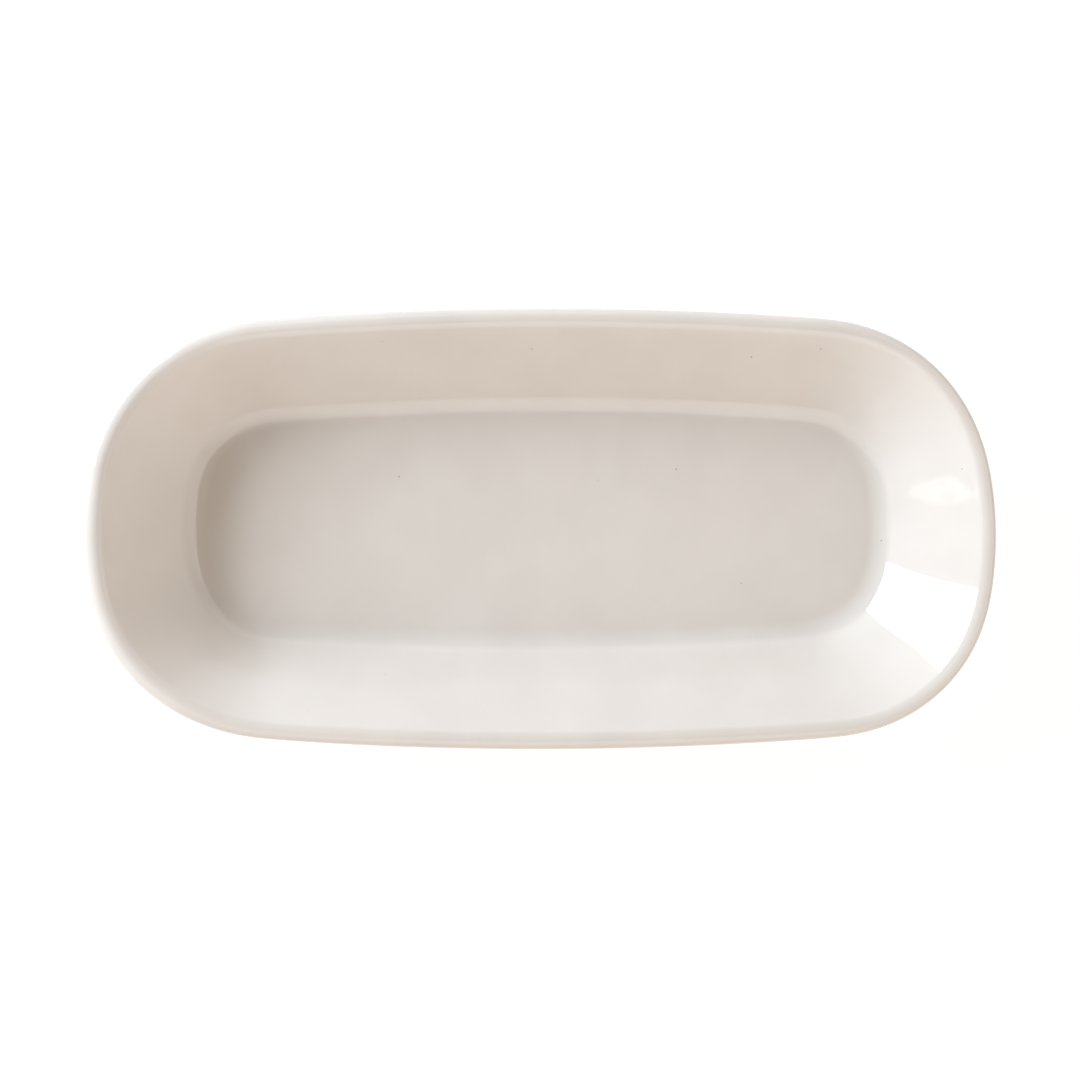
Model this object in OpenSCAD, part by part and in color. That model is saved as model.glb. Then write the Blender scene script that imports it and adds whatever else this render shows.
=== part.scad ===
// Long stoneware dish for serving asparagus. It has a flat floor, one straight wall that leans out evenly
// all the way round, and a rounded lip, and it stands on a low foot ring.
// The fired clay is one piece. A coat of glaze covers its inside, its lip and its outside down to the foot.
// A second patch of glaze lies inside the foot ring, and the edge that the dish stands on is bare clay.
// Seen from above, the outline is eight arcs in line with each other: two long sides, two ends, four corners.

/* [Outline] */
// Length over the lip
dish_l = 330; // [280:1:400]
// Width over the lip
dish_w = 160; // [150:1:200]
// Radius of the two long sides, which bow out a little
side_r = 1335; // [900:5:2500]
// Radius of the two ends
end_r = 122; // [90:1:250]
// Radius of the four corners
corner_r = 67; // [48:1:72]

/* [Height and walls] */
// Height from the foot to the top of the lip
dish_h = 38; // [30:0.5:50]
// How far the wall leans out, from the edge of the floor to the outside of the lip
wall_run = 35; // [25:0.5:45]
// Thickness of the wall at the floor, with its glaze
wall_t = 5; // [4:0.1:6.5]
// Thickness of the floor, with its glaze
floor_t = 5; // [3.5:0.1:7]
// Radius of the outer half of the rounded lip
lip_out_r = 3.5; // [2:0.1:4]
// Radius of the inner half of the lip, which runs softly down into the wall
lip_in_r = 5; // [2.5:0.1:6]
// Radius of the hollow where the wall meets the floor
floor_r = 12.5; // [4:0.5:18]

/* [Foot ring] */
// Height that the foot ring lifts the underside of the floor
foot_h = 3; // [2.3:0.1:5]
// Width of the bare clay of the foot ring
foot_w = 4.5; // [3:0.1:7]
// Radius of the foot ring's two lower edges
foot_edge_r = 0.8; // [0.3:0.1:1.1]
// Radius of the hollow where the outside of the wall meets the foot ring
cove_r = 1.5; // [0.8:0.1:3]
// Radius of the hollow where the underside meets the inside of the foot ring
recess_r = 1; // [0.4:0.1:1.6]

/* [Glaze] */
// Thickness of the glaze
glaze_t = 0.4; // [0.2:0.05:0.8]
// Height above the table at which the glaze on the foot ring ends
bare_h = 1.2; // [0.9:0.05:1.9]

/* [Colours] */
// Colour of the bare fired clay
clay_colour = "#c6b49c"; // [#c6b49c:Buff, #a98c6c:Brown, #d9d4cb:White]
// Colour of the glaze
glaze_colour = "#dbd3ca"; // [#dbd3ca:Warm white, #b9c2ba:Celadon, #8c95a1:Grey blue]

/* [Hidden] */

// Steps along each arc of the outline
side_steps = 8;
end_steps = 6;
corner_steps = 16;
// Steps round each arc of the section
lip_out_steps = 6;
lip_in_steps = 3;
floor_steps = 4;
edge_steps = 2;
recess_steps = 3;

// Unit direction at an angle
function dir(angle) = [cos(angle), sin(angle)];

// Points along an arc
function arc(centre, radius, from, to, steps) =
    [for (i = [0:steps]) centre + radius * dir(from + (to - from) * i / steps)];

// The outline, seen from above. The corner's centre is as far from the centre of the side's arc, and from
// the centre of the end's arc, as the difference of their radii, so the three arcs meet in line.
side_c = [0, dish_w / 2 - side_r];
end_c = [dish_l / 2 - end_r, 0];
side_to_corner = side_r - corner_r;
end_to_corner = end_r - corner_r;
side_to_end = norm(end_c - side_c);
along = (side_to_corner^2 - end_to_corner^2 + side_to_end^2) / (2 * side_to_end);
across = sqrt(side_to_corner^2 - along^2);
run_dir = (end_c - side_c) / side_to_end;
corner_c = side_c + along * run_dir + across * [run_dir.y, -run_dir.x];
end_angle = atan2(corner_c.y, corner_c.x - end_c.x);
side_angle = atan2(corner_c.y - side_c.y, corner_c.x);

// Arcs of the half outline on the right and far sides: centre, radius, first and last angle, steps
HALF_ARCS = [
    [end_c, end_r, -end_angle, end_angle, end_steps],
    [corner_c, corner_r, end_angle, side_angle, corner_steps],
    [side_c, side_r, side_angle, 180 - side_angle, side_steps],
    [[-corner_c.x, corner_c.y], corner_r, 180 - side_angle, 180 - end_angle, corner_steps]
];

// Spokes that carry the section round the dish: each has an arc's centre, its radius and a direction.
// The second half of the outline is the first half turned about the middle of the dish.
SPOKES = [for (half = [1, -1]) for (a = HALF_ARCS) for (i = [0:a[4] - 1])
    [half * a[0], a[1], half * dir(a[2] + (a[3] - a[2]) * i / a[4])]];

// The section is drawn in two sizes: how far a point is in from the outside of the lip, and its height.
// Each line is drawn at a depth below the face of the glaze, so the clay and the glaze share their lines.
floor_h = foot_h + floor_t;
floor_edge = [wall_run, floor_h];
lip_out_c = [lip_out_r, dish_h - lip_out_r];
lip_in_c = [lip_out_r, dish_h - lip_in_r];
// Fall of the line through the floor's edge that passes a centre at a radius
function slope(centre, radius) = let (fall = centre.y - floor_edge.y, run = floor_edge.x - centre.x)
    atan2(fall, run) + asin(radius / norm([run, fall]));
// Slopes of the wall, inside and outside. Both lines run on from the lip's rounds without a corner, and at
// the floor's edge they are the wall's thickness apart.
in_slope = slope(lip_in_c, lip_in_r);
out_slope = slope(lip_out_c, wall_t - lip_out_r);
// The foot ring's outside starts where the outside of the wall reaches the underside's height
wall_foot = floor_edge - wall_t * [sin(out_slope), cos(out_slope)];
foot_out = wall_foot.x + (wall_foot.y - foot_h) / tan(out_slope);
clay_out = foot_out + glaze_t;
clay_in = clay_out + foot_w;
foot_in = clay_in + glaze_t;
// Centres of the section's other rounds
floor_c = [wall_run + floor_r * tan(in_slope / 2), floor_h + floor_r];
cove_c = [foot_out - cove_r, foot_h - cove_r * tan(45 - out_slope / 2)];
recess_c = [foot_in + recess_r, foot_h - recess_r];

// Underside: from the hollow under the floor to where the glaze ends on the inside of the foot ring
function underside(depth) = concat(
    arc(recess_c, recess_r + depth, 90, 180, recess_steps),
    [[foot_in - depth, bare_h]]
);

// Bare foot: round its two lower edges, from the inside to the outside
function bare_foot() = concat(
    arc([clay_in - foot_edge_r, foot_edge_r], foot_edge_r, 0, -90, edge_steps),
    arc([clay_out + foot_edge_r, foot_edge_r], foot_edge_r, 270, 180, edge_steps)
);

// Upper side: from where the glaze ends outside the foot ring, up the wall and over the lip, to the floor.
// The lip's two rounds share its topmost point.
function upper_side(depth) = concat(
    [[foot_out + depth, bare_h]],
    arc(cove_c, cove_r + depth, 0, 90 - out_slope, edge_steps),
    arc(lip_out_c, lip_out_r - depth, 270 - out_slope, 90, lip_out_steps),
    rest(arc(lip_in_c, lip_in_r - depth, 90, 90 - in_slope, lip_in_steps)),
    arc(floor_c, floor_r + depth, 270 - in_slope, 270, floor_steps)
);

// A list without its first point
function rest(list) = [for (i = [1:len(list) - 1]) list[i]];

// A list in the opposite order
function turned(list) = [for (i = [len(list) - 1:-1:0]) list[i]];

// One point of the section, carried round the outline
function ring(p) = [for (s = SPOKES) let (xy = s[0] + (s[1] - p.x) * s[2]) [xy.x, xy.y, p.y]];

// Solid whose skin is a section carried round the outline, closed by a flat cap at each end of the section.
// The section starts at the middle of the solid's lower side and ends at the middle of its upper side.
module carried(section) {
    count = len(SPOKES);
    last = len(section) - 1;
    lower_cap = [for (i = [0:count - 1]) i];
    upper_cap = [for (i = [count - 1:-1:0]) last * count + i];
    skin = [for (r = [0:last - 1]) for (i = [0:count - 1]) let (
        near = r * count,
        far = near + count,
        next = (i + 1) % count
    ) [near + i, far + i, far + next, near + next]];
    polyhedron([for (p = section) each ring(p)], concat([lower_cap, upper_cap], skin), convexity = 4);
}

// The fired clay: floor, wall, lip and foot ring in one piece
module stoneware_body() {
    color(clay_colour) carried(concat(underside(glaze_t), bare_foot(), upper_side(glaze_t)));
}

// The main coat of glaze, over the inside, the lip and the outside down to the foot ring
module glaze_coat() {
    color(glaze_colour) carried(concat(turned(upper_side(glaze_t)), upper_side(0)));
}

// The patch of glaze under the floor, inside the foot ring
module base_glaze() {
    color(glaze_colour) carried(concat(underside(0), turned(underside(glaze_t))));
}

stoneware_body();
glaze_coat();
base_glaze();
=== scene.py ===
import math

import bpy
import numpy as np
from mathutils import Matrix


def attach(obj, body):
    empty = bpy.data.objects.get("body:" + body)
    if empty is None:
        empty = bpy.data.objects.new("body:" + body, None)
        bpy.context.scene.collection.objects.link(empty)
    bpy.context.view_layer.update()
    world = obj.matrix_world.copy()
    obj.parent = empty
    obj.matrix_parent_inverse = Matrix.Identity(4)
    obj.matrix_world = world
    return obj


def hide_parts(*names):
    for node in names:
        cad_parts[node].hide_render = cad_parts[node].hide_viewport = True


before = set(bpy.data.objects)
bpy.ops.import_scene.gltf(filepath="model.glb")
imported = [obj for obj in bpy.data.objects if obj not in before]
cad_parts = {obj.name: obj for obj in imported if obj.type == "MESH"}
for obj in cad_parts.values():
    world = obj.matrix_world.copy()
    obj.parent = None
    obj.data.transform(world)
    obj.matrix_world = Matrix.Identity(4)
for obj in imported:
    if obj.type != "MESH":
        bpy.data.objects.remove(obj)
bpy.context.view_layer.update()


# The camera
# It looks straight down on the plate from about arm's reach, with the far edge of the plate at the top of the
# picture. It is placed in metres and turned in degrees, its film and lens are in millimetres, and the plate's
# place is in pixels from the middle of the picture.
picture_side = 1080
film_side = 36
lens_length = 57.5
camera_height = 0.658
camera_right = -0.007
camera_forward = 0.02
camera_turn = -0.17
plate_right = -20.3
plate_up = 69.3

camera = bpy.data.objects.new("camera", bpy.data.cameras.new("camera"))
bpy.context.scene.collection.objects.link(camera)
bpy.context.scene.camera = camera
bpy.context.scene.view_settings.view_transform = "Standard"
camera.data.sensor_width = film_side
camera.data.lens = lens_length
camera.data.shift_x = -plate_right / picture_side
camera.data.shift_y = -plate_up / picture_side
camera.data.clip_start = 0.01
camera.data.clip_end = 50
camera.location = (camera_right, camera_forward, camera_height)
camera.rotation_euler = (0, 0, math.radians(camera_turn))


# The fired clay
# One piece of buff stoneware, pressed over a mould: a flat floor, an evenly leaning wall with a rounded lip,
# and a low foot ring. It is glazed nearly all over, and only the edge that the plate stands on is left bare.
# Its sizes, and the glaze's, are in millimetres.
mm = 0.001
rim_length = 330
rim_width = 160
side_radius = 1335
end_radius = 122
corner_radius = 67
blend_length = 5

plate_height = 38
wall_run = 35
wall_thickness = 5
floor_thickness = 5
lip_outer_radius = 3.5
lip_inner_radius = 5
hollow_radius = 12.5
foot_height = 3
foot_width = 4.5
foot_edge_radius = 0.8
cove_radius = 1.5
recess_radius = 1
glaze_thickness = 0.4
bare_height = 1.2

# How finely it is drawn: the places round the rim, the even steps from the section's ends to the middle of
# the plate, the steps of the section's arcs, and the longest step of its straight lines.
columns = 440
level_steps = 8
clay_arc_steps = 12
recess_steps = 4
foot_edge_steps = 8
clay_step_length = 4
foot_step_length = 1
bare_step_length = 0.5


def rim_line(count):
    """The rim seen from above: its points and its outward angles at count places, counter-clockwise.

    The rim is eight arcs. Going round, its direction turns by 1 / radius for each unit of length. That rate
    is averaged over the blend length, so each arc runs softly into the next. The sum of the rate is the
    outward angle a, and the sum of (-sin a, cos a) is the place. The places are spaced half by length and
    half by turning, which sets them closer together round the corners.
    """
    side_centre = np.array([0, rim_width / 2 - side_radius])
    end_centre = np.array([rim_length / 2 - end_radius, 0])
    to_end = end_centre - side_centre
    apart = np.hypot(*to_end)
    side_to_corner = side_radius - corner_radius
    end_to_corner = end_radius - corner_radius
    along = (side_to_corner**2 - end_to_corner**2 + apart**2) / (2 * apart)
    across = math.sqrt(side_to_corner**2 - along**2)
    sideways = np.array([to_end[1], -to_end[0]])
    corner_centre = side_centre + (along * to_end + across * sideways) / apart
    end_angle = math.atan2(corner_centre[1], corner_centre[0] - end_centre[0])
    side_angle = math.atan2(corner_centre[1] - side_centre[1], corner_centre[0])

    radii = np.array([end_radius, corner_radius, side_radius, corner_radius] * 2)
    corner_turn = side_angle - end_angle
    turns = np.array([2 * end_angle, corner_turn, math.pi - 2 * side_angle, corner_turn] * 2)
    half_end = end_radius * end_angle
    arc_ends = np.cumsum(radii * turns) - half_end
    around = arc_ends[-1] + half_end
    fine = 16384
    step = around / fine
    length = (np.arange(fine) + 0.5) * step
    rate = 1 / radii[np.searchsorted(arc_ends, length) % len(radii)]
    waves = np.fft.rfftfreq(fine, step)
    rate = np.fft.irfft(np.fft.rfft(rate) * np.exp(-2 * (math.pi * waves * blend_length) ** 2), fine)
    rate *= 2 * math.pi / (rate.sum() * step)
    angle = (np.cumsum(rate) - rate / 2) * step
    place = np.cumsum(np.stack([-np.sin(angle), np.cos(angle)], 1), 0) * step
    place -= (place.max(0) + place.min(0)) / 2

    share = (length / around + angle / (2 * math.pi)) / 2
    at = np.interp(np.arange(count) / count, share, length)
    points = np.stack([np.interp(at, length, place[:, 0]), np.interp(at, length, place[:, 1])], 1)
    return points, np.interp(at, length, angle)


def arc(centre, radius, first, last, steps):
    """Points at centre + radius * (cos a, sin a), where a goes from first to last degrees in even steps."""
    angle = np.radians(np.linspace(first, last, steps + 1))
    return centre + radius * np.stack([np.cos(angle), np.sin(angle)], 1)


def joined(step_length, *lines):
    """The lines end to end. Each gap between two lines is a straight in even steps up to the step length."""
    parts = [lines[0]]
    for before, after in zip(lines, lines[1:]):
        steps = max(1, math.ceil(np.hypot(*(after[0] - before[-1])[:2]) / step_length))
        parts.append(before[-1] + (after[0] - before[-1]) * np.arange(1, steps)[:, None] / steps)
        parts.append(after)
    return np.concatenate(parts)


def tagged(inside, line):
    """The line with a third number at each point, which is 1 on the inside of the plate and 0 elsewhere."""
    return np.column_stack([line, np.full(len(line), inside)])


# The section is drawn in two sizes: how far a point is in from the outside of the lip, and its height.
outer_centre = np.array([lip_outer_radius, plate_height - lip_outer_radius])
inner_centre = np.array([lip_outer_radius, plate_height - lip_inner_radius])
floor_height = foot_height + floor_thickness
floor_edge = np.array([wall_run, floor_height])


def slope(centre, radius):
    """Fall in degrees of the line through the floor's edge that passes the centre at the radius."""
    run, fall = wall_run - centre[0], centre[1] - floor_height
    return math.degrees(math.atan2(fall, run) + math.asin(radius / math.hypot(run, fall)))


in_slope = slope(inner_centre, lip_inner_radius)
out_slope = slope(outer_centre, wall_thickness - lip_outer_radius)
out_lean = np.array([math.sin(math.radians(out_slope)), math.cos(math.radians(out_slope))])
wall_foot = floor_edge - wall_thickness * out_lean
foot_out = wall_foot[0] + (wall_foot[1] - foot_height) * out_lean[1] / out_lean[0]
clay_out = foot_out + glaze_thickness
clay_in = clay_out + foot_width
foot_in = clay_in + glaze_thickness
hollow_reach = hollow_radius * math.tan(math.radians(in_slope / 2))
hollow_centre = np.array([wall_run + hollow_reach, floor_height + hollow_radius])
cove_drop = cove_radius * math.tan(math.radians(45 - out_slope / 2))
cove_centre = np.array([foot_out - cove_radius, foot_height - cove_drop])
recess_centre = np.array([foot_in + recess_radius, foot_height - recess_radius])


def underside(depth, steps):
    """From the hollow under the floor down the inside of the foot ring, depth below the face of the glaze."""
    recess = arc(recess_centre, recess_radius + depth, 90, 180, steps)
    return tagged(0, joined(foot_step_length, recess, np.array([[foot_in - depth, bare_height]])))


def bare_foot(steps):
    """Round the two lower edges of the bare foot, from the inside to the outside."""
    inner = arc([clay_in - foot_edge_radius, foot_edge_radius], foot_edge_radius, 0, -90, steps)
    outer = arc([clay_out + foot_edge_radius, foot_edge_radius], foot_edge_radius, 270, 180, steps)
    return tagged(0, joined(bare_step_length, inner, outer))


def upper_side(depth, steps, step_length):
    """From the edge of the glaze outside the foot ring, up the wall and over the lip, to the floor's edge."""
    start = np.array([[foot_out + depth, bare_height]])
    cove = arc(cove_centre, cove_radius + depth, 0, 90 - out_slope, steps // 2)
    lip_outside = arc(outer_centre, lip_outer_radius - depth, 270 - out_slope, 90, steps)
    lip_inside = arc(inner_centre, lip_inner_radius - depth, 90, 90 - in_slope, steps // 2)[1:]
    hollow = arc(hollow_centre, hollow_radius + depth, 270 - in_slope, 270, steps)
    outside = joined(step_length, start, cove, lip_outside)
    inside = joined(step_length, lip_inside, hollow)
    return np.concatenate([tagged(0, outside), tagged(1, inside)])


rim, rim_angle = rim_line(columns)
outward = np.stack([np.cos(rim_angle), np.sin(rim_angle)], 1)

# How the clay moved as it dried and fired. The rim went out of true in slow waves, each with its number of
# lobes, how far it goes and its turn in degrees. The lip rose and fell a little, and is fuller at the left.
# The hollow is fuller at the right end. The mould and the sponge left ripples, each with its rise and length,
# which cross at four headings, in degrees, and start a little above the foot.
sways = [(1, 1.5, 76), (2, 0.65, 70), (3, 0.7, 155), (4, 0.4, 180)]
lip_rise = 0.3
lip_rise_turn = 40
lip_fuller = 1.3
hollow_fuller = 0.7
ripples = [(0.06, 34), (0.014, 12)]
ripple_headings = [10, 75, 130, 200]
ripple_growth = 0.3
ripple_shift = 2
ripple_start = 1
ripple_onset = 3


def settled(place, height, share, inside):
    """The places and heights of the points of a skin, with the clay's own unevenness added.

    share is how far out from the middle of the plate a row of points lies, and is 1 on the section itself.
    For the outward angle a, the rim sways outwards by the sum of far * cos(lobes * a + turn), and the lip
    rises by lip_rise * cos(2 * a - turn). Both grow evenly with the height above the foot. The clay is fuller
    towards the middle by -lip_fuller * cos a on top of the lip, which falls off as the square of the height
    on the lip's outer round and softly on the inside, and by hollow_fuller * (cos a)**2 low on the inside of
    the right-hand half. Above the foot it also rises by sine waves that cross each other, rise * sin(2 * pi *
    run / wave + shift), whose length grows from one heading to the next.
    """
    climb = np.clip((height - foot_height) / (plate_height - foot_height), 0, 1)
    sway = sum(far * np.cos(lobes * rim_angle + math.radians(turn)) for lobes, far, turn in sways)
    round_share = np.clip((height - outer_centre[1]) / lip_outer_radius, 0, 1) ** 2
    wall_share = np.clip((height - floor_height) / (plate_height - floor_height), 0, 1)
    wall_share = wall_share**2 * (3 - 2 * wall_share)
    top = np.where(inside > 0, wall_share, round_share)[:, None]
    low = (inside * (1 - wall_share))[:, None]
    right = np.cos(rim_angle)
    fuller = low * hollow_fuller * np.clip(right, 0, 1) ** 2 - top * lip_fuller * right
    place = place + share[:, None, None] * (climb[:, None] * sway - fuller)[..., None] * outward
    level = height[:, None] + climb[:, None] * lip_rise * np.cos(2 * rim_angle - math.radians(lip_rise_turn))
    ripple = 0
    for number, heading in enumerate(np.radians(ripple_headings)):
        run = place[..., 0] * math.cos(heading) + place[..., 1] * math.sin(heading)
        for rise, length in ripples:
            wave = length * (1 + ripple_growth * number)
            ripple = ripple + rise * np.sin(2 * math.pi * run / wave + ripple_shift * number)
    upper = np.clip((height - foot_height - ripple_start) / ripple_onset, 0, 1)[:, None]
    return place, level + upper * ripple


def carried(name, section):
    """A closed skin. Each point (inset, height) of the section goes once round, at rim - inset * outward.

    From both ends of the section the skin runs level to the middle of the plate in even steps.
    """
    shrink = np.arange(1, level_steps) / level_steps
    ends = [np.repeat(section[end : end + 1], level_steps - 1, 0) for end in (0, len(section) - 1)]
    inset, height, inside = np.concatenate([ends[0], section, ends[1]]).T
    share = np.concatenate([shrink, np.ones(len(section)), shrink[::-1]])
    place = share[:, None, None] * (rim - inset[:, None, None] * outward)
    place, raised = settled(place, height, share, inside)
    grid = np.concatenate([place, raised[..., None]], 2).reshape(-1, 3)
    middles = np.array([[0, 0, raised[0].mean()], [0, 0, raised[-1].mean()]])
    points = np.concatenate([grid, middles]) * mm

    rows = len(share)
    near = np.arange((rows - 1) * columns).reshape(rows - 1, columns)
    near_next = np.roll(near, -1, 1)
    quads = np.stack([near, near_next, near_next + columns, near + columns], -1).reshape(-1, 4)
    first = np.arange(columns)
    last = first + (rows - 1) * columns
    low_fan = np.stack([np.full(columns, rows * columns), np.roll(first, -1), first], 1)
    high_fan = np.stack([last, np.roll(last, -1), np.full(columns, rows * columns + 1)], 1)
    mesh = bpy.data.meshes.new(name)
    mesh.from_pydata(points.tolist(), [], quads.tolist() + low_fan.tolist() + high_fan.tolist())
    mesh.shade_smooth()
    piece = bpy.data.objects.new(name, mesh)
    bpy.context.scene.collection.objects.link(piece)
    return piece


def linear(code):
    """An sRGB hex colour as linear light: c / 12.92 up to 0.04045, else ((c + 0.055) / 1.055) ** 2.4."""
    part = np.array([int(code[k : k + 2], 16) for k in (1, 3, 5)]) / 255
    light = np.where(part <= 0.04045, part / 12.92, ((part + 0.055) / 1.055) ** 2.4)
    return (*light.tolist(), 1)


def add(tree, kind, inputs=None, **settings):
    """A new node of that kind with its settings, each of its inputs set to a value or linked to an output."""
    node = tree.nodes.new("ShaderNode" + kind)
    for name, value in settings.items():
        setattr(node, name, value)
    for name, value in (inputs or {}).items():
        if isinstance(value, bpy.types.NodeSocket):
            tree.links.new(value, node.inputs[name])
        else:
            node.inputs[name].default_value = value
    return node


def material(name):
    """A new material with an empty node tree."""
    made = bpy.data.materials.new(name)
    made.use_nodes = True
    made.node_tree.nodes.clear()
    return made


# Bisque-hard buff stoneware, wiped with a sponge: matt, a little sandy, with fine darker grog in it. A grain
# of grog is dark up to grog_heart and gone at grog_edge, in shares of the grog's spacing. Inputs 6 and 7 of a
# Mix node are its two colours, and its output 2 is the mixed one.
clay_cloud_size = 9
grog_spacing = 1.4
grog_heart = 0.08
grog_edge = 0.16
sand_size = 0.6
sand_depth = 0.12
cloud_limits = {"From Min": 0.35, "From Max": 0.65}

bisque = material("bare_fired_stoneware")
tree = bisque.node_tree
spot = add(tree, "TexCoord").outputs["Object"]
cloud_scale = 1 / (clay_cloud_size * mm)
clouds = add(tree, "TexNoise", {"Vector": spot, "Scale": cloud_scale, "Detail": 4}).outputs["Fac"]
cloud_share = add(tree, "MapRange", {"Value": clouds, **cloud_limits}).outputs["Result"]
buffs = {"Factor": cloud_share, 6: linear("#b9a488"), 7: linear("#cdbca5")}
buff = add(tree, "Mix", buffs, data_type="RGBA").outputs[2]
grog = add(tree, "TexVoronoi", {"Vector": spot, "Scale": 1 / (grog_spacing * mm)}).outputs["Distance"]
grog_limits = {"From Min": grog_edge, "From Max": grog_heart}
grog_share = add(tree, "MapRange", {"Value": grog, **grog_limits}).outputs["Result"]
browns = {"Factor": grog_share, 6: buff, 7: linear("#8f7658")}
flecked = add(tree, "Mix", browns, data_type="RGBA").outputs[2]
sand = add(tree, "TexNoise", {"Vector": spot, "Scale": 1 / (sand_size * mm), "Detail": 3}).outputs["Fac"]
sandy = add(tree, "Bump", {"Height": sand, "Strength": 0.5, "Distance": sand_depth * mm}).outputs["Normal"]
dry = {"Base Color": flecked, "Roughness": 0.82, "Normal": sandy}
surface = add(tree, "BsdfPrincipled", dry).outputs["BSDF"]
add(tree, "OutputMaterial", {"Surface": surface})

clay_under = underside(glaze_thickness, recess_steps)
clay_upper = upper_side(glaze_thickness, clay_arc_steps, clay_step_length)
clay_section = joined(foot_step_length, clay_under, bare_foot(foot_edge_steps), clay_upper)
clay = carried("clay_body", clay_section)
clay.data.materials.append(bisque)
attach(clay, "root")
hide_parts("stoneware_body")


# The glaze
# Stoneware glaze, poured and dipped, then fired until it ran to a smooth glass 0.4 mm thick. It covers the
# inside, the lip and the outside down to the foot ring, where its edge draws up into a small round. It shares
# its inner face, point for point, with the clay.
glaze_arc_steps = 24
glaze_edge_steps = 4
glaze_step_length = 1.2

# Glossy off-white glaze: a sharp shine, faint clouds, and a face very slightly uneven, like orange peel. At
# the left end, low in the hollow, a painted shade makes it a little darker and warmer. The iron in the clay
# comes through as a few brown specks of many sizes, and speckless is the share of places with none.
glaze_cloud_size = 22
painted_shade_left = {"From Min": -105 * mm, "From Max": -122 * mm}
painted_shade_low = {"From Min": 13 * mm, "From Max": 9 * mm}
iron_spacing = 26
iron_radius = 0.42
iron_edge = 0.2
speckless = 0.6
peel_size = 5
peel_depth = 0.03
soft = {"interpolation_type": "SMOOTHSTEP"}

glaze = material("glossy_stoneware_glaze")
tree = glaze.node_tree
spot = add(tree, "TexCoord").outputs["Object"]
cloud_scale = 1 / (glaze_cloud_size * mm)
clouds = add(tree, "TexNoise", {"Vector": spot, "Scale": cloud_scale, "Detail": 3}).outputs["Fac"]
cloud_share = add(tree, "MapRange", {"Value": clouds, **cloud_limits}).outputs["Result"]
creams = {"Factor": cloud_share, 6: linear("#d8d2ca"), 7: linear("#dbd5cd")}
cream = add(tree, "Mix", creams, data_type="RGBA").outputs[2]
place = add(tree, "SeparateXYZ", {"Vector": spot}).outputs
# Painted shade: darker and warmer at the left end, low in the hollow, where the left wall shadows the
# window's light.
left_end = add(tree, "MapRange", {"Value": place["X"], **painted_shade_left}, **soft).outputs["Result"]
low_down = add(tree, "MapRange", {"Value": place["Z"], **painted_shade_low}, **soft).outputs["Result"]
painted_shade = add(tree, "Math", {0: left_end, 1: low_down}, operation="MULTIPLY").outputs[0]
painted_shade_colours = {"Factor": painted_shade, 6: cream, 7: linear("#d2cbc1")}
shaded_cream = add(tree, "Mix", painted_shade_colours, data_type="RGBA").outputs[2]
iron_grid = {"Vector": spot, "Scale": 1 / (iron_spacing * mm)}
iron = add(tree, "TexVoronoi", iron_grid, voronoi_dimensions="2D")
iron_pick = add(tree, "SeparateColor", {"Color": iron.outputs["Color"]}).outputs["Red"]
iron_reach = {"From Min": speckless, "From Max": 1, "To Max": iron_radius / iron_spacing}
iron_size = add(tree, "MapRange", {"Value": iron_pick, **iron_reach}).outputs["Result"]
iron_depth = add(tree, "Math", {0: iron_size, 1: iron.outputs["Distance"]}, operation="SUBTRACT").outputs[0]
iron_fade = {"Value": iron_depth, "From Max": iron_edge / iron_spacing}
iron_share = add(tree, "MapRange", iron_fade).outputs["Result"]
speck_colours = {"Factor": iron_share, 6: shaded_cream, 7: linear("#b0a190")}
speckled = add(tree, "Mix", speck_colours, data_type="RGBA").outputs[2]
peel = add(tree, "TexNoise", {"Vector": spot, "Scale": 1 / (peel_size * mm), "Detail": 1}).outputs["Fac"]
peeled = add(tree, "Bump", {"Height": peel, "Strength": 0.35, "Distance": peel_depth * mm}).outputs["Normal"]
glassy = {"Base Color": speckled, "Roughness": 0.05, "IOR": 1.58, "Normal": peeled}
surface = add(tree, "BsdfPrincipled", glassy).outputs["BSDF"]
add(tree, "OutputMaterial", {"Surface": surface})

edge_height = bare_height + glaze_thickness
coat_edge_centre = [foot_out + glaze_thickness, edge_height]
coat_edge = tagged(0, arc(coat_edge_centre, glaze_thickness, 270, 180, glaze_edge_steps))
coat_face = upper_side(0, glaze_arc_steps, glaze_step_length)
coat_section = joined(glaze_step_length, clay_upper[::-1], coat_edge[1:], coat_face[1:])
coat = carried("glaze_coat_fine", coat_section)
coat.data.materials.append(glaze)
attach(coat, "root")
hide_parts("glaze_coat")


# The glaze under the floor
# A second patch of the same glaze lies inside the foot ring. It is cut off from the coat outside, because the
# foot's edge is wiped clean before firing, so that the plate doesn't stick to the kiln shelf.
patch_arc_steps = 12

patch_edge_centre = [foot_in - glaze_thickness, edge_height]
patch_edge = tagged(0, arc(patch_edge_centre, glaze_thickness, 270, 360, glaze_edge_steps))
patch_face = underside(0, patch_arc_steps)
patch_section = joined(foot_step_length, patch_face[:-1], patch_edge[::-1], clay_under[::-1][1:])
patch = carried("base_glaze_fine", patch_section)
patch.data.materials.append(glaze)
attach(patch, "root")
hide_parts("base_glaze")


# The table
# A plain white table top that glows a little of itself, so that it reads as white and the plate's own soft
# shadow on it is faint. Seen from below it isn't there. table_half is in metres.
table_half = 3
table_grey = 0.45
table_glow = 0.22
table_glow_seen = 0.71

table_mesh = bpy.data.meshes.new("table")
table_corners = [(x * table_half, y * table_half, 0) for x, y in [(-1, -1), (1, -1), (1, 1), (-1, 1)]]
table_mesh.from_pydata(table_corners, [], [(0, 1, 2, 3)])
table = bpy.data.objects.new("table", table_mesh)
bpy.context.scene.collection.objects.link(table)


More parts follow.
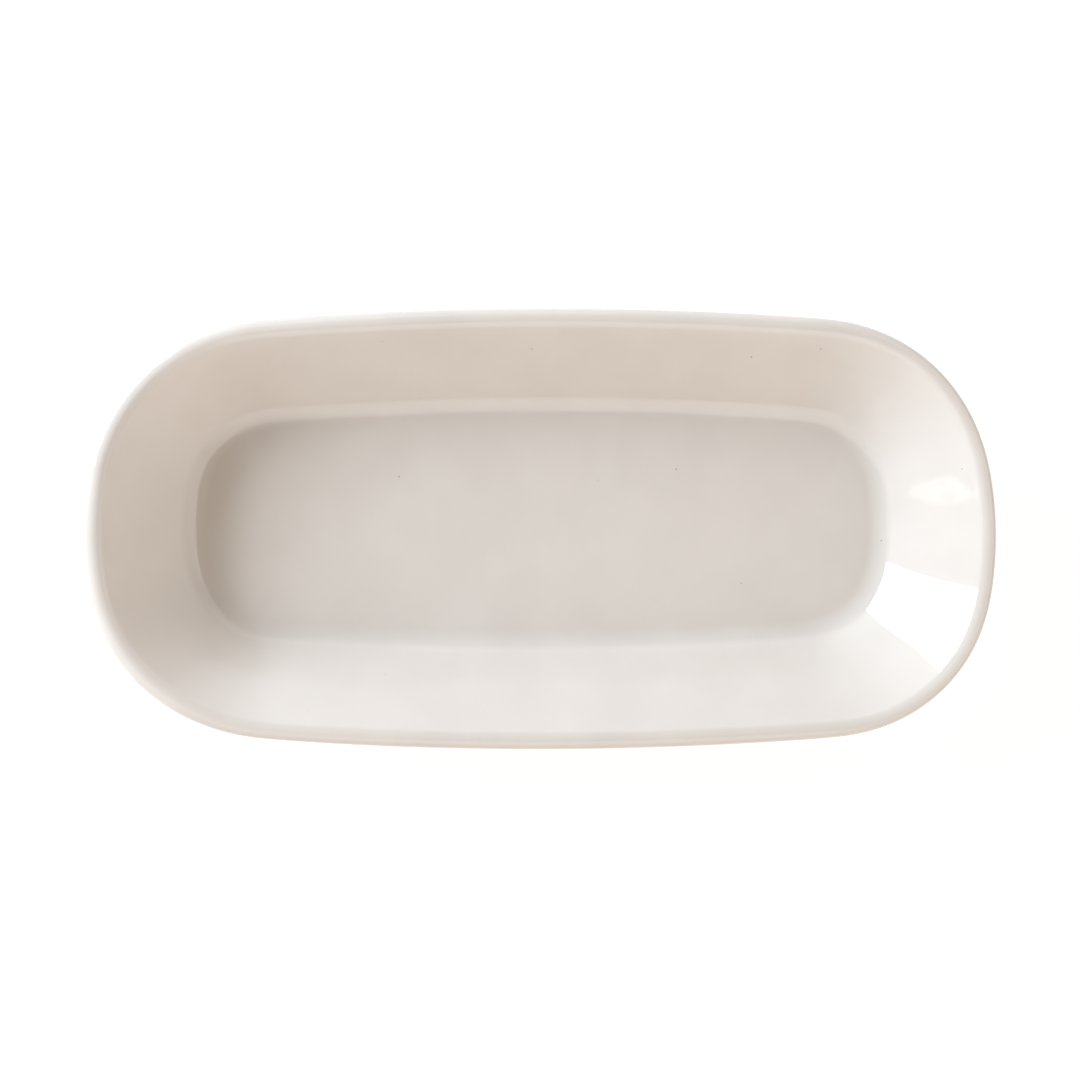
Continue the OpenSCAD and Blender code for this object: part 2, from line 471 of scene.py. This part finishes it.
def looked_at(tree):
    """1 for a ray of the camera, of a reflection or through glass, and else 0: the greatest of the three."""
    ray = add(tree, "LightPath").outputs
    marks = {0: ray["Is Camera Ray"], 1: ray["Is Glossy Ray"]}
    seen = add(tree, "Math", marks, operation="MAXIMUM").outputs[0]
    return add(tree, "Math", {0: seen, 1: ray["Is Transmission Ray"]}, operation="MAXIMUM").outputs[0]


white_top = material("white_table_top")
tree = white_top.node_tree
glow_limits = {"To Min": table_glow, "To Max": table_glow_seen}
glow = add(tree, "MapRange", {"Value": looked_at(tree), **glow_limits}).outputs["Result"]
matt = add(tree, "BsdfDiffuse", {"Color": (table_grey, table_grey, table_grey, 1)}).outputs["BSDF"]
lit = add(tree, "Emission", {"Strength": glow}).outputs["Emission"]
top_side = add(tree, "AddShader", {0: matt, 1: lit}).outputs[0]
under_side = add(tree, "BsdfTransparent").outputs[0]
behind = add(tree, "NewGeometry").outputs["Backfacing"]
surface = add(tree, "MixShader", {0: behind, 1: top_side, 2: under_side}).outputs[0]
add(tree, "OutputMaterial", {"Surface": surface})
table_mesh.materials.append(white_top)


# The light
# Daylight comes from a window on the left and a little to the far side. The rest of the room glows softly,
# and a dark cloth is stretched overhead. Turns are in degrees from straight right, counter-clockwise, lengths
# are in metres, and a light of 1 is as bright as white paper.
window_turn = 151.7
window_far = 1.5
window_wide = 1.06
window_low = 0.32
window_high = 1.05
window_light = 12.5

# An upright panel of light. Power of 4 for each square metre gives it a light of 1.
pane = bpy.data.lights.new("window", "AREA")
pane.shape = "RECTANGLE"
pane.size = window_wide
pane.size_y = window_high - window_low
pane.energy = 4 * window_light * pane.size * pane.size_y
pane.color = linear("#e4f1ff")[:3]
window = bpy.data.objects.new("window", pane)
bpy.context.scene.collection.objects.link(window)
turn = math.radians(window_turn)
window.location = (window_far * math.cos(turn), window_far * math.sin(turn), (window_low + window_high) / 2)
window.rotation_euler = (math.radians(90), 0, turn + math.radians(90))
window.visible_camera = False

# A slip of daylight beside the window. The glaze shows it as a small bright triangle at the right-hand end.
# Each of its corners lies so far sideways of its turn, and so far up from the table.
slip_turn = 192
slip_light = 2.6
slip_corners = [(-0.069, 0.445), (-0.1, 0.545), (0.16, 0.53)]

turn = math.radians(slip_turn)
slip_x = [window_far * math.cos(turn) - along * math.sin(turn) for along, up in slip_corners]
slip_y = [window_far * math.sin(turn) + along * math.cos(turn) for along, up in slip_corners]
slip_z = [up for along, up in slip_corners]
slip_mesh = bpy.data.meshes.new("slip_of_daylight")
slip_mesh.from_pydata(list(zip(slip_x, slip_y, slip_z)), [], [(0, 1, 2)])
slip = bpy.data.objects.new("slip_of_daylight", slip_mesh)
bpy.context.scene.collection.objects.link(slip)
slip.visible_camera = False
daylight = material("daylight")
tree = daylight.node_tree
lit = add(tree, "Emission", {"Strength": slip_light}).outputs["Emission"]
add(tree, "OutputMaterial", {"Surface": lit})
slip_mesh.materials.append(daylight)

# The cloth overhead has its near right corner rounded off. The glaze shows that corner as a crisp line in the
# hollow round the floor. Past cloth_thick, towards the far side and the left, the cloth thins out to nothing
# at cloth_far, so it shows no edge there.
cloth_height = 1.4
cloth_far = 2.8
cloth_right = 0.63
cloth_near = -0.54
cloth_corner = 0.46
cloth_corner_points = 25
cloth_thick = 1.2
cloth_grey = 0.02

corner_turn = np.radians(np.linspace(-90, 0, cloth_corner_points))
round_x = cloth_right - cloth_corner + cloth_corner * np.cos(corner_turn)
round_y = cloth_near + cloth_corner + cloth_corner * np.sin(corner_turn)
cloth_x = [-cloth_far, *round_x, cloth_right, -cloth_far]
cloth_y = [cloth_near, *round_y, cloth_far, cloth_far]
cloth_points = [(x, y, cloth_height) for x, y in zip(cloth_x, cloth_y)]
cloth_mesh = bpy.data.meshes.new("dark_cloth")
cloth_mesh.from_pydata(cloth_points, [], [range(len(cloth_points))])
cloth = bpy.data.objects.new("dark_cloth", cloth_mesh)
bpy.context.scene.collection.objects.link(cloth)
cloth.visible_camera = False
dark_cloth = material("dark_cloth")
tree = dark_cloth.node_tree
spot = add(tree, "TexCoord").outputs["Object"]
place = add(tree, "SeparateXYZ", {"Vector": spot}).outputs
thin_left = {"From Min": -cloth_far, "From Max": -cloth_thick}
left = add(tree, "MapRange", {"Value": place["X"], **thin_left}, **soft).outputs["Result"]
thin_far = {"From Min": cloth_far, "From Max": cloth_thick}
far = add(tree, "MapRange", {"Value": place["Y"], **thin_far}, **soft).outputs["Result"]
thick = add(tree, "Math", {0: left, 1: far}, operation="MULTIPLY").outputs[0]
clear = add(tree, "BsdfTransparent").outputs["BSDF"]
felt = add(tree, "BsdfDiffuse", {"Color": (cloth_grey, cloth_grey, cloth_grey, 1)}).outputs["BSDF"]
surface = add(tree, "MixShader", {0: thick, 1: clear, 2: felt}).outputs[0]
add(tree, "OutputMaterial", {"Surface": surface})
cloth_mesh.materials.append(dark_cloth)

# The glow of the room. Each row is one soft patch: its turn and its height in degrees, how far it reaches
# round that place in degrees, and its light. The patches are added to an even light, which the camera and
# reflections see as white.
glows = [(125, 40, 36, 0.5), (280, 35, 38, 0.8), (352, 50, 26, 0.6)]
even_light = 0.95
even_colour = linear("#fff4ec")

room = bpy.data.worlds.new("room")
bpy.context.scene.world = room
room.use_nodes = True
tree = room.node_tree
tree.nodes.clear()
way = add(tree, "TexCoord").outputs["Generated"]
seen = looked_at(tree)
total = add(tree, "MapRange", {"Value": seen, "To Min": even_light, "To Max": 1}).outputs["Result"]
for azimuth, height, reach, light in glows:
    turn, lift = math.radians(azimuth), math.radians(height)
    middle = (math.cos(lift) * math.cos(turn), math.cos(lift) * math.sin(turn), math.sin(lift))
    cosine = add(tree, "VectorMath", {0: way, 1: middle}, operation="DOT_PRODUCT").outputs["Value"]
    limits = {"From Min": math.cos(math.radians(reach)), "From Max": 1, "To Max": light}
    patch_light = add(tree, "MapRange", {"Value": cosine, **limits}, **soft).outputs["Result"]
    total = add(tree, "Math", {0: total, 1: patch_light}, operation="ADD").outputs[0]
tints = {"Factor": seen, 6: even_colour, 7: (1, 1, 1, 1)}
tint = add(tree, "Mix", tints, data_type="RGBA").outputs[2]
white = add(tree, "Background", {"Color": tint, "Strength": total}).outputs[0]
add(tree, "OutputWorld", {"Surface": white})
